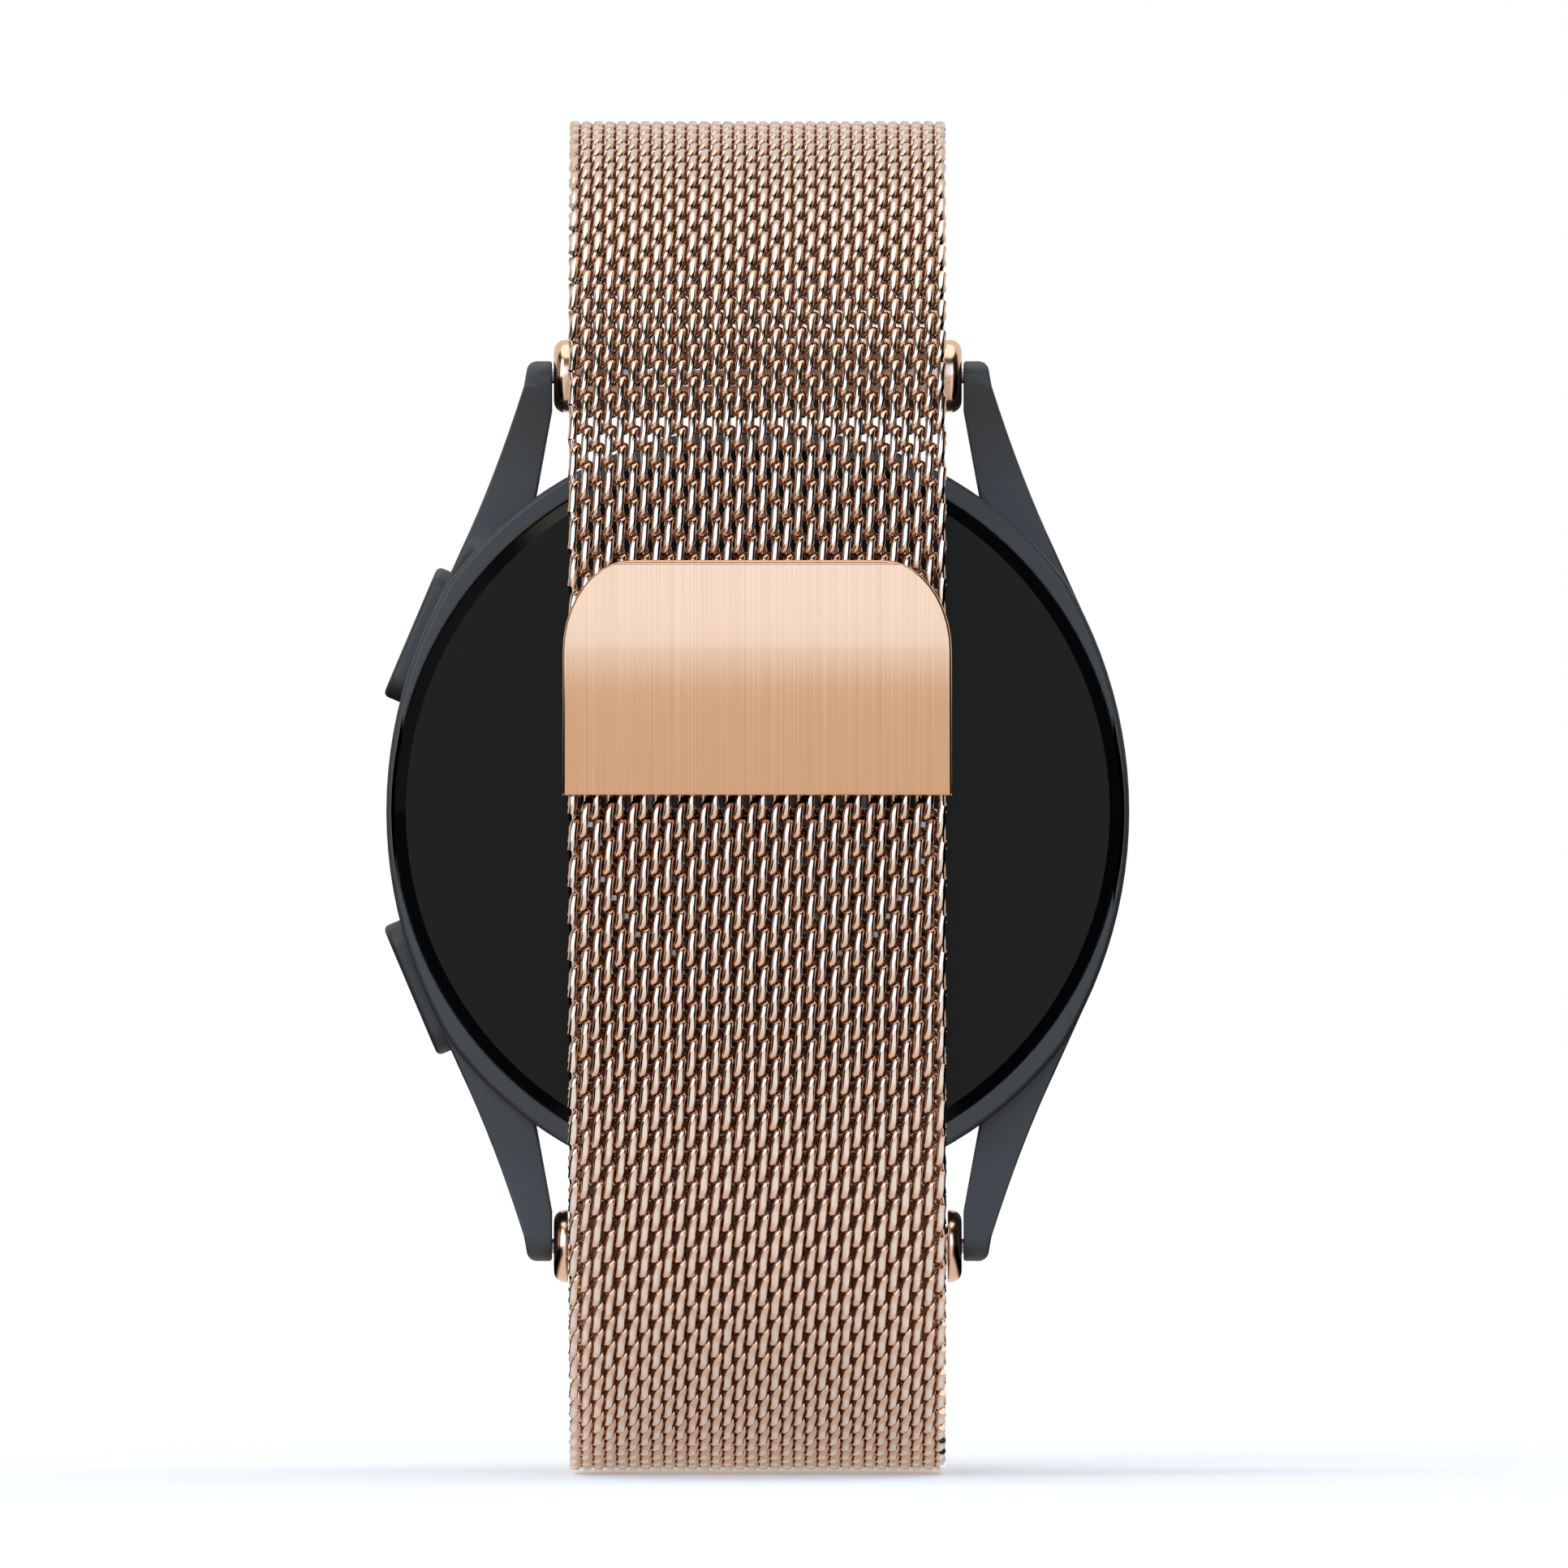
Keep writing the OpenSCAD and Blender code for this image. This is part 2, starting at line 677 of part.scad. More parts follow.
module clasp_cover() {
    half = band_w / 2 + 0.05;
    y1 = flap_y - mesh_t / 2 - fit_gap;
    color([0.87, 0.66, 0.5]) difference() {
        intersection() {
            clasp_slab(0, clasp_y, clasp_y - clasp_t - 1);
            clasp_dome(clasp_r);
        }
        intersection() {
            clasp_slab(clasp_wall, clasp_y + 1, clasp_y - clasp_t - 1);
            clasp_dome(clasp_r - clasp_wall);
        }
        box([-half, y1, clasp_z0 - 1], [half, clasp_y + 1, clasp_z0 + tongue + 0.2]);
    }
}

module clasp_base() {
    color([0.8, 0.6, 0.46]) intersection() {
        clasp_slab(clasp_wall + fit_gap, clasp_y, clasp_y - base_t);
        box([-clasp_w, clasp_y - 5, clasp_z0 + tongue + 0.3], [clasp_w, clasp_y + 5, clasp_z0 + clasp_l]);
    }
}

module clasp_magnets() {
    y0 = clasp_y - base_t - fit_gap;
    pitch = (clasp_w - 2 * clasp_wall - 2.4) / magnet_count;
    color([0.55, 0.55, 0.58]) for (i = [0:magnet_count - 1]) let (x = (i - (magnet_count - 1) / 2) * pitch)
        box([x - magnet_w / 2, y0 - magnet_t, clasp_mid - 3.2], [x + magnet_w / 2, y0, clasp_mid + 3.2]);
}

module clasp_clamp() {
    y1 = flap_y - mesh_t / 2 - fit_gap;
    color([0.5, 0.4, 0.32])
        box([-band_w / 2 + 1.2, y1 - 0.3, clasp_z0 + clasp_wall + 0.1], [band_w / 2 - 1.2, y1, clasp_z0 + 2.5]);
}

// ---- spring bars ----

module at_upper_bar() { translate([0, bar_y, bar_z]) children(); }
module at_lower_bar() { translate([0, bar_y, -bar_z]) children(); }

// A barrel along X of radius r and half-length half, with its end edges rounded.
module barrel_body(r, half, fillet) {
    rotate([0, 90, 0]) rotate_extrude() polygon(concat(
        [[0, -half]],
        arc([r - fillet, -half + fillet], fillet, -90, 0, 5),
        arc([r - fillet, half - fillet], fillet, 0, 90, 5),
        [[0, half]]
    ));
}

lever_x = -barrel_half + 3.6;
lever_r = 0.45;
lever_out = barrel_r + 0.65;

// The slot that the quick-release lever slides in, on the wrist side.
module lever_slot() {
    w = lever_r + 0.1;
    rotate([90, 0, 0]) {
        translate([lever_x, 0, 0]) cylinder(r = w, h = 5);
        translate([lever_x + tip_travel, 0, 0]) cylinder(r = w, h = 5);
    }
    box([lever_x, -5, -w], [lever_x + tip_travel, 0, w]);
}

module upper_barrel() {
    color([0.78, 0.56, 0.42]) at_upper_bar() difference() {
        barrel_body(barrel_r, barrel_half, 0.6);
        rod_x(tube_r + fit_gap, -20, 20);
        lever_slot();
    }
}

module bar_tube() {
    difference() {
        rod_x(tube_r, -tube_half, tube_half);
        rod_x(tube_bore, -20, 20);
    }
}

// A tip along +X: the shank slides in the tube, and the pin sits in the lug.
module bar_tip() {
    rod_x(shank_r, tube_half - shank_l, tube_half);
    rod_x(tip_r, tube_half - eps, gap_half + 0.1 + pin_depth);
}

module upper_bar_tube() {
    color([0.72, 0.72, 0.74]) at_upper_bar() difference() {
        bar_tube();
        lever_slot();
    }
}

module upper_fixed_tip() {
    color([0.66, 0.66, 0.68]) at_upper_bar() bar_tip();
}

module upper_release_lever() {
    color([0.66, 0.66, 0.68]) at_upper_bar() {
        mirror([1, 0, 0]) bar_tip();
        translate([lever_x, -shank_r / 2, 0]) rotate([90, 0, 0])
            cylinder(r = lever_r, h = lever_out - shank_r / 2);
    }
}

spring_wire = 0.09;
spring_turns = 7;
ring_steps = 10;
wire_sides = 5;

// A coil spring along X, between its ends at -half and half, as one closed sweep.
module coil(half) {
    steps = spring_turns * ring_steps;
    mean = shank_r - spring_wire - 0.03;
    reach = half - spring_wire;
    points = [for (i = [0:steps]) let (a = 360 * i / ring_steps, x = reach * (2 * i / steps - 1))
        for (k = [0:wire_sides - 1]) let (b = 360 * k / wire_sides, q = mean + spring_wire * cos(b))
            [x + spring_wire * sin(b), q * cos(a), q * sin(a)]];
    faces = concat(
        [[for (k = [wire_sides - 1:-1:0]) k]],
        [[for (k = [0:wire_sides - 1]) steps * wire_sides + k]],
        [for (i = [0:steps - 1], k = [0:wire_sides - 1])
            let (a = i * wire_sides, b = a + wire_sides, n = (k + 1) % wire_sides)
                each [[a + k, a + n, b + n], [a + k, b + n, b + k]]]
    );
    polyhedron(points, faces, convexity = 10);
}

spring_half = tube_half - shank_l - 0.02;

module upper_bar_spring() {
    color([0.6, 0.6, 0.62]) at_upper_bar() coil(spring_half);
}

module lower_bar_spring() {
    color([0.6, 0.6, 0.62]) at_lower_bar() coil(spring_half);
}

module lower_roller() {
    core = band_w / 2 + slide_gap;
    color([0.78, 0.56, 0.42]) at_lower_bar() difference() {
        barrel_body(barrel_r, barrel_half, 0.6);
        difference() {
            rod_x(barrel_r + 1, -core, core);
            rod_x(roller_core, -core - 1, core + 1);
        }
        rod_x(tube_r + fit_gap, -20, 20);
    }
}

module lower_bar_tube() {
    color([0.72, 0.72, 0.74]) at_lower_bar() bar_tube();
}

module lower_tip_left() {
    color([0.66, 0.66, 0.68]) at_lower_bar() mirror([1, 0, 0]) bar_tip();
}

module lower_tip_right() {
    color([0.66, 0.66, 0.68]) at_lower_bar() bar_tip();
}

// ---- nodes ----

case();
cover_glass();
glass_seal();
display_panel();
display_flex();
carrier();
battery();
main_board();
board_shield();
board_chips();
board_screws();
vibration_motor();
speaker();
speaker_mesh();
microphone();
button_switches();
button_seals();
upper_button();
upper_button_clip();
lower_button();
lower_button_clip();
rear_cover();
rear_gasket();
sensor_window();
sensor_board();
sensor_leds();
photodiodes();
light_baffle();
charging_coil();
coil_shield();
electrodes();
band_inner();
band_flap();
clasp_cover();
clasp_base();
clasp_magnets();
clasp_clamp();
upper_barrel();
upper_bar_tube();
upper_fixed_tip();
upper_release_lever();
upper_bar_spring();
lower_roller();
lower_bar_tube();
lower_tip_left();
lower_tip_right();
lower_bar_spring();
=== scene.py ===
# Smartwatch on a woven mesh strap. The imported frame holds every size; this script gives it its looks.
# +Z is 12 o'clock, +Y is out through the display and -Y is the wrist and clasp side.
import json
import math

import bmesh
import bpy
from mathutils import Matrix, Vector
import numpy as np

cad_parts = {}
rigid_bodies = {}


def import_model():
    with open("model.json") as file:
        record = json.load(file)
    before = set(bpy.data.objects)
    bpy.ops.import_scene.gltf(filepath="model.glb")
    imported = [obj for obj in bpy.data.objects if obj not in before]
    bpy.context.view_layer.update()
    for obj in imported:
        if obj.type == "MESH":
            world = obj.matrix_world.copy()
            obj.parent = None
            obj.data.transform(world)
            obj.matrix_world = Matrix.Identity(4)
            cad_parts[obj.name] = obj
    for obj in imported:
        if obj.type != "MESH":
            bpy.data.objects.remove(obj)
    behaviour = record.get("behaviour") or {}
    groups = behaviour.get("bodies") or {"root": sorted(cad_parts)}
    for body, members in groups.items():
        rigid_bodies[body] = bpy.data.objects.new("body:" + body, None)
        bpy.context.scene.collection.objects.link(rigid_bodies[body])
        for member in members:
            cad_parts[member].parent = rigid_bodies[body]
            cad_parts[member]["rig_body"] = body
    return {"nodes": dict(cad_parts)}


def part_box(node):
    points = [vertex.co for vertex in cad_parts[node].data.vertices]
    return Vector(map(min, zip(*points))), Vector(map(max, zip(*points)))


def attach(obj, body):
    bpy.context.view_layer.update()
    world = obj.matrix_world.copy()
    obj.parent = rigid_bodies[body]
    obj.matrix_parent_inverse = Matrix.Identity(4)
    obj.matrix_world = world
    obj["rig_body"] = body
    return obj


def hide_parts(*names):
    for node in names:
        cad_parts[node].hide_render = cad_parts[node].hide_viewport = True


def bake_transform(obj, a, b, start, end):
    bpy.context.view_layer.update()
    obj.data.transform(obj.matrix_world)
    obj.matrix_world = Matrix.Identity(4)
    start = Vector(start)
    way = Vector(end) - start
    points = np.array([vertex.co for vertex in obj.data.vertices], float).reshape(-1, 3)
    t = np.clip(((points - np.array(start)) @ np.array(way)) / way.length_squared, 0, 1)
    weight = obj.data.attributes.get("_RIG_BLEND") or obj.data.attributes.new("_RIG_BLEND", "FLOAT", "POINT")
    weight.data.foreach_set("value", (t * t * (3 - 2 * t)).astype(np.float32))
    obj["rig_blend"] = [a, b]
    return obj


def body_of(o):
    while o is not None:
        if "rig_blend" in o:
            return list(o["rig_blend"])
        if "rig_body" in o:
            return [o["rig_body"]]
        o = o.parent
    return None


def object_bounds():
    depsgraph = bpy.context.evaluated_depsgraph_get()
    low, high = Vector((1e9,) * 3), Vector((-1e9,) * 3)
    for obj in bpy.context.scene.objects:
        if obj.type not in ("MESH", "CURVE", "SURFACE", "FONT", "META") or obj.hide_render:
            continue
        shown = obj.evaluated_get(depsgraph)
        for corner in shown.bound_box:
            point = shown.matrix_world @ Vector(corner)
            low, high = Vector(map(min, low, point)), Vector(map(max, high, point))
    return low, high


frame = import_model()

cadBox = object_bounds()
scene = bpy.context.scene
scene.view_settings.view_transform = "Standard"
mm = 0.001
samePlace = 1e-6    # metres; points nearer than this count as one


# Camera: level, square on to the clasp and far off, so nothing looks foreshortened.
viewpoint = {
    "distance": 2.5,
    "frameWidth": 82.2 * mm,
    "right": 1.4 * mm,
    "up": 1.45 * mm,
    "sensor": 36,
}


def addCamera():
    data = bpy.data.cameras.new("camera")
    data.sensor_width = viewpoint["sensor"]
    data.lens = viewpoint["sensor"] * viewpoint["distance"] / viewpoint["frameWidth"]
    camera = bpy.data.objects.new("camera", data)
    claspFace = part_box("clasp_cover")[0].y
    camera.location = (viewpoint["right"], claspFace - viewpoint["distance"], viewpoint["up"])
    camera.rotation_euler = (math.pi / 2, 0, 0)
    scene.collection.objects.link(camera)
    scene.camera = camera


addCamera()


# Helpers that add nodes to a tree.
def addNode(tree, kind, inputs=None, **settings):
    made = tree.nodes.new(kind)
    for key, value in settings.items():     # before the inputs, which some settings change
        setattr(made, key, value)
    for key, value in (inputs or {}).items():
        if isinstance(value, bpy.types.NodeSocket):
            tree.links.new(value, made.inputs[key])
        else:
            made.inputs[key].default_value = value
    return made


def calc(tree, operation, a, b=0.0, c=0.0):
    return addNode(tree, "ShaderNodeMath", {0: a, 1: b, 2: c}, operation=operation).outputs[0]


def fade(tree, value, start, end, low=0.0, high=1.0):
    ramp = {"Value": value, "From Min": start, "From Max": end, "To Min": low, "To Max": high}
    return addNode(tree, "ShaderNodeMapRange", ramp, interpolation_type="SMOOTHSTEP").outputs[0]


def within(tree, value, low, high, soft):
    # 1 between low and high, falling to 0 over soft on each side
    rise = fade(tree, value, low - soft, low)
    fall = fade(tree, value, high, high + soft, 1.0, 0.0)
    return calc(tree, "MULTIPLY", rise, fall)


def mixColour(tree, factor, a, b):
    return addNode(tree, "ShaderNodeMix", {"Factor": factor, 6: a, 7: b}, data_type="RGBA").outputs[2]


def ownPlace(tree):
    return addNode(tree, "ShaderNodeTexCoord").outputs["Object"]


def split(tree, arrow):
    return addNode(tree, "ShaderNodeSeparateXYZ", {0: arrow}).outputs


def vector(tree, x=0.0, y=0.0, z=0.0):
    return addNode(tree, "ShaderNodeCombineXYZ", {0: x, 1: y, 2: z}).outputs[0]


def scaled(tree, arrow, factor):
    return addNode(tree, "ShaderNodeVectorMath", {0: arrow, "Scale": factor}, operation="SCALE").outputs[0]


def newGroup(name, kind, inputs, outputs):
    group = bpy.data.node_groups.new(name, kind)
    for socketName, socketType, value in inputs:
        made = group.interface.new_socket(socketName, in_out="INPUT", socket_type="NodeSocket" + socketType)
        if value is not None:
            made.default_value = value
    for socketName, socketType in outputs:
        group.interface.new_socket(socketName, in_out="OUTPUT", socket_type="NodeSocket" + socketType)
    return group, group.nodes.new("NodeGroupInput").outputs, group.nodes.new("NodeGroupOutput")


# Directions are seen from the object: bearing 0 is straight at the camera, 90 to its right, in degrees.
# Each box is painted over the ones before it.
studio = {
    "floorDrop": 0.15 * mm,
    "floorRadius": 4.0,
    "floorSides": 96,
    "floorStrip": (16 * mm, 25.6 * mm),  # out from the middle: where the part that lights the object fades
    "floorWidening": 0.5,                # how much further out that is for each metre towards the camera
    "floorTone": 0.66,
    "floorTones": (0.93, 0.97),          # from its speckles' darkest to their lightest
    "floorSpeckle": 60.0,
    "floorGlow": 0.44,                   # what polished metal sees of it
    "floorSeenGlow": 0.22,               # what the camera sees of it
    "seenWhite": 1.0,
    "ambient": (0.30, 0.28, 0.27),
    "countOn": -100.0,                   # bearings below this are counted on past 180 for boxes behind
    "boxes": [
        {"name": "behind", "bearing": (115, 245), "height": (-90, 60), "soft": 25,
         "light": (0.80, 0.80, 0.80)},
        {"name": "front", "bearing": (-30, 16), "height": (-90, 6), "soft": 8,
         "light": (0.86, 0.84, 0.81)},
        {"name": "darkBand", "bearing": (-100, 100), "height": (38, 56), "soft": 6,
         "light": (0.05, 0.045, 0.04)},
        {"name": "darkRight", "bearing": (22, 84), "height": (-60, 56), "soft": 6,
         "light": (0.01, 0.01, 0.01)},
        {"name": "leftStrip", "bearing": (-46, -22), "height": (-50, 50), "soft": 5,
         "light": (2.6, 2.45, 2.25)},
        {"name": "upperFront", "bearing": (-40, 22), "height": (8, 33), "soft": 11,
         "light": (1.4, 1.95, 2.85)},
        {"name": "top", "bearing": (-180, 180), "height": (64, 90), "soft": 8,
         "light": (1.5, 1.58, 1.66)},
    ],
}


def buildStudio():
    world = bpy.data.worlds.new("studio")
    scene.world = world
    world.use_nodes = True
    tree = world.node_tree
    tree.nodes.clear()
    way = split(tree, addNode(tree, "ShaderNodeTexCoord").outputs["Generated"])
    toCamera = calc(tree, "MULTIPLY", way["Y"], -1.0)
    bearing = calc(tree, "MULTIPLY", calc(tree, "ARCTAN2", way["X"], toCamera), math.degrees(1))
    pastEnd = calc(tree, "LESS_THAN", bearing, studio["countOn"])
    allRound = calc(tree, "MULTIPLY_ADD", pastEnd, 360.0, bearing)
    height = calc(tree, "MULTIPLY", calc(tree, "ARCSINE", way["Z"]), math.degrees(1))
    light = studio["ambient"] + (1,)
    for box in studio["boxes"]:
        turn = allRound if box["bearing"][1] > 180 else bearing
        across = within(tree, turn, *box["bearing"], box["soft"])
        up = within(tree, height, *box["height"], box["soft"])
        light = mixColour(tree, calc(tree, "MULTIPLY", across, up), light, box["light"] + (1,))
    seen = addNode(tree, "ShaderNodeLightPath").outputs["Is Camera Ray"]
    white = (studio["seenWhite"],) * 3 + (1,)
    background = addNode(tree, "ShaderNodeBackground", {"Color": mixColour(tree, seen, light, white)})
    addNode(tree, "ShaderNodeOutputWorld", {"Surface": background.outputs[0]})


def floorMaterial():
    # Seen directly the floor is near white; polished metal reflects it as if it were lit from below.
    material = bpy.data.materials.new("studioFloor")
    material.use_nodes = True
    tree = material.node_tree
    tree.nodes.clear()
    place = ownPlace(tree)
    speckle = addNode(tree, "ShaderNodeTexNoise", {"Vector": place, "Scale": studio["floorSpeckle"]})
    path = addNode(tree, "ShaderNodeLightPath")
    seen = path.outputs["Is Camera Ray"]
    # a strip under the object, widening towards the camera, lights it, so that its sides stay dark
    spot = split(tree, place)
    widening = calc(tree, "MULTIPLY", calc(tree, "MINIMUM", spot["Y"], 0.0), studio["floorWidening"])
    aside = calc(tree, "ADD", calc(tree, "ABSOLUTE", spot["X"]), widening)
    lighting = fade(tree, aside, *studio["floorStrip"], 1.0, 0.0)
    bright = fade(tree, speckle.outputs["Fac"], 0.0, 1.0, *studio["floorTones"])
    unseen = calc(tree, "MULTIPLY", lighting, studio["floorTone"])
    tone = calc(tree, "MULTIPLY", bright, calc(tree, "MAXIMUM", unseen, seen))
    skin = addNode(tree, "ShaderNodeBsdfDiffuse", {"Color": tone})
    polished = calc(tree, "MULTIPLY", path.outputs["Is Glossy Ray"], lighting)
    reflected = calc(tree, "MULTIPLY", polished, studio["floorGlow"])
    lit = calc(tree, "MULTIPLY_ADD", seen, studio["floorSeenGlow"], reflected)
    glow = addNode(tree, "ShaderNodeEmission", {"Strength": lit})
    both = addNode(tree, "ShaderNodeAddShader", {0: skin.outputs[0], 1: glow.outputs[0]})
    addNode(tree, "ShaderNodeOutputMaterial", {"Surface": both.outputs[0]})
    return material


def buildFloor():
    mesh = bpy.data.meshes.new("floor")
    shape = bmesh.new()
    bmesh.ops.create_circle(shape, cap_ends=True, radius=studio["floorRadius"],
                             segments=studio["floorSides"])
    bmesh.ops.translate(shape, verts=shape.verts, vec=(0, 0, cadBox[0].z - studio["floorDrop"]))
    shape.to_mesh(mesh)
    shape.free()
    floor = bpy.data.objects.new("floor", mesh)
    scene.collection.objects.link(floor)
    mesh.materials.append(floorMaterial())


buildStudio()
buildFloor()
print("studio: floor and", len(studio["boxes"]), "soft boxes")


grainShare = 0.6             # of the fine grain in the drift, beside the patches
lineContrast = (0.38, 0.66)  # where the noise turns from a dark hairline to a light one


def buildFinishGroup():
    # Slow drift of colour and roughness over the surface, and the fine grain's height
    group, given, result = newGroup("finish", "ShaderNodeTree", [
        ("Colour", "Color", (0.5, 0.5, 0.5, 1)),
        ("Drift", "Float", 0.1),
        ("Roughness", "Float", 0.4),
        ("Roughness drift", "Float", 0.1),
        ("Patch size", "Float", 0.004),
        ("Grain size", "Float", 0.0002),
    ], [("Colour", "Color"), ("Roughness", "Float"), ("Height", "Float")])
    place = ownPlace(group)
    patchScale = calc(group, "DIVIDE", 1.0, given["Patch size"])
    grainScale = calc(group, "DIVIDE", 1.0, given["Grain size"])
    patch = addNode(group, "ShaderNodeTexNoise", {"Vector": place, "Scale": patchScale, "Detail": 3.0})
    grain = addNode(group, "ShaderNodeTexNoise", {"Vector": place, "Scale": grainScale, "Detail": 2.0})
    swing = calc(group, "MULTIPLY_ADD", patch.outputs["Fac"], 2.0, -1.0)
    fine = calc(group, "MULTIPLY_ADD", grain.outputs["Fac"], 2.0, -1.0)
    both = calc(group, "ADD", swing, calc(group, "MULTIPLY", fine, grainShare))
    gain = calc(group, "MULTIPLY_ADD", both, given["Drift"], 1.0)
    tinted = scaled(group, given["Colour"], gain)
    rough = calc(group, "MULTIPLY_ADD", both, given["Roughness drift"], given["Roughness"])
    group.links.new(tinted, result.inputs["Colour"])
    group.links.new(rough, result.inputs["Roughness"])
    group.links.new(grain.outputs["Fac"], result.inputs["Height"])
    return group


def buildBrushGroup():
    # Fine straight hairlines: the noise is squeezed across them and drawn out along them
    group, given, result = newGroup("brushing", "ShaderNodeTree", [
        ("Line width", "Float", 0.00005),
        ("Line length", "Float", 0.02),
    ], [("Height", "Float"), ("Mask", "Float")])
    place = ownPlace(group)
    across = calc(group, "DIVIDE", 1.0, given["Line width"])
    along = calc(group, "DIVIDE", 1.0, given["Line length"])
    squeeze = vector(group, across, along, along)
    drawn = addNode(group, "ShaderNodeVectorMath", {0: place, 1: squeeze}, operation="MULTIPLY")
    lines = addNode(group, "ShaderNodeTexNoise", {"Vector": drawn.outputs[0], "Scale": 1.0, "Detail": 3.0})
    group.links.new(lines.outputs["Fac"], result.inputs["Height"])
    group.links.new(fade(group, lines.outputs["Fac"], *lineContrast), result.inputs["Mask"])
    return group


finishGroup = buildFinishGroup()
brushGroup = buildBrushGroup()


def newMaterial(name, plain):
    # plain holds the shader's fixed values, set straight on its sockets
    material = bpy.data.materials.new(name)
    material.use_nodes = True
    skin = material.node_tree.nodes["Principled BSDF"]
    for key, value in plain.items():
        skin.inputs[key].default_value = value
    return material, material.node_tree, skin


def addBump(tree, skin, height, depth):
    bump = addNode(tree, "ShaderNodeBump", {"Height": height, "Distance": depth, "Strength": 1.0})
    tree.links.new(bump.outputs[0], skin.inputs["Normal"])


def madeFinish(name, colour, rough, drift=0.08, roughDrift=0.06, patch=3.0, grain=0.15, depth=0.002, **plain):
    material, tree, skin = newMaterial(name, {key.replace("_", " "): value for key, value in plain.items()})
    values = {"Colour": colour + (1,), "Drift": drift, "Roughness": rough, "Roughness drift": roughDrift,
              "Patch size": patch * mm, "Grain size": grain * mm}
    look = addNode(tree, "ShaderNodeGroup", node_tree=finishGroup)
    for key, value in values.items():
        look.inputs[key].default_value = value
    tree.links.new(look.outputs["Colour"], skin.inputs["Base Color"])
    tree.links.new(look.outputs["Roughness"], skin.inputs["Roughness"])
    addBump(tree, skin, look.outputs["Height"], depth * mm)
    return material


# Sizes in mm. Names are the record's material slots.
finishes = {
    "case_metal": dict(colour=(0.093, 0.085, 0.073), rough=0.5, Metallic=0.35, grain=0.07, depth=0.0006),
    "button_metal": dict(colour=(0.079, 0.072, 0.062), rough=0.48, Metallic=0.35, grain=0.07, depth=0.001),
    "rear_glass": dict(colour=(0.004, 0.004, 0.004), rough=0.08, roughDrift=0.02, depth=0.0002,
                       Specular_IOR_Level=0.18, Specular_Tint=(1.0, 0.93, 0.8, 1)),
    "sensor_glass": dict(colour=(0.006, 0.006, 0.008), rough=0.05, roughDrift=0.02, depth=0.0001),
    "electrode_steel": dict(colour=(0.55, 0.55, 0.56), rough=0.25, Metallic=1.0, grain=0.1, depth=0.0008),
    "barrel_rose_gold": dict(colour=(0.88, 0.56, 0.38), rough=0.17, roughDrift=0.03, Metallic=1.0,
                             grain=0.2, depth=0.0001),
    "bar_steel": dict(colour=(0.6, 0.6, 0.61), rough=0.3, Metallic=1.0, grain=0.1, depth=0.001),
    "screw_steel": dict(colour=(0.5, 0.5, 0.52), rough=0.28, Metallic=1.0, grain=0.08, depth=0.001),
    "shield_steel": dict(colour=(0.62, 0.62, 0.63), rough=0.36, Metallic=1.0, grain=0.12, depth=0.001),
    "magnet_nickel": dict(colour=(0.58, 0.57, 0.55), rough=0.3, Metallic=1.0, grain=0.15, depth=0.001),
    "coil_copper": dict(colour=(0.72, 0.33, 0.16), rough=0.32, Metallic=1.0, grain=0.1, depth=0.001),
    "cell_pouch": dict(colour=(0.18, 0.19, 0.2), rough=0.42, Metallic=0.5, grain=0.4, depth=0.006),
    "circuit_board": dict(colour=(0.02, 0.11, 0.06), rough=0.45, drift=0.25, grain=0.5, depth=0.004),
    "chip_resin": dict(colour=(0.022, 0.022, 0.024), rough=0.55, grain=0.06, depth=0.002),
    "flex_circuit": dict(colour=(0.42, 0.19, 0.04), rough=0.4, grain=0.3, depth=0.003),
    "inner_plastic": dict(colour=(0.035, 0.035, 0.037), rough=0.6, grain=0.12, depth=0.003),
    "led_resin": dict(colour=(0.5, 0.62, 0.45), rough=0.2, grain=0.2, depth=0.001),
    "diode_silicon": dict(colour=(0.05, 0.045, 0.09), rough=0.18, Metallic=0.4, grain=0.2, depth=0.0005),
    "ferrite": dict(colour=(0.05, 0.047, 0.045), rough=0.75, grain=0.1, depth=0.004),
    "black_seal": dict(colour=(0.012, 0.012, 0.012), rough=0.7, grain=0.1, depth=0.003),
}


# Wire colours from the crevices up to the faces that were rolled flat. The dark crevice colour is painted
# shade between the loops, the near-white face colour is a painted highlight on the flattened faces, and the
# side colour is the rose gold itself.
wire = {
    # painted shade: dark brown deep between the loops, where shade falls
    "paintedCreviceShade": (0.25, 0.145, 0.088, 1),
    "side": (0.73, 0.495, 0.355, 1),
    # painted highlight: near white on the faces that were rolled flat
    "face": (0.99, 0.93, 0.85, 1),
    "paintedShadeEnd": 0.4,
    "paintedHighlightStart": 0.92,
    "paintedHighlightEnd": 1.07,
    "drift": 0.05,
    "roughness": 0.11,
    "roughnessDrift": 0.05,
    "patch": 1.2 * mm,
    "grain": 0.12 * mm,
    "grainDepth": 0.0015 * mm,
}


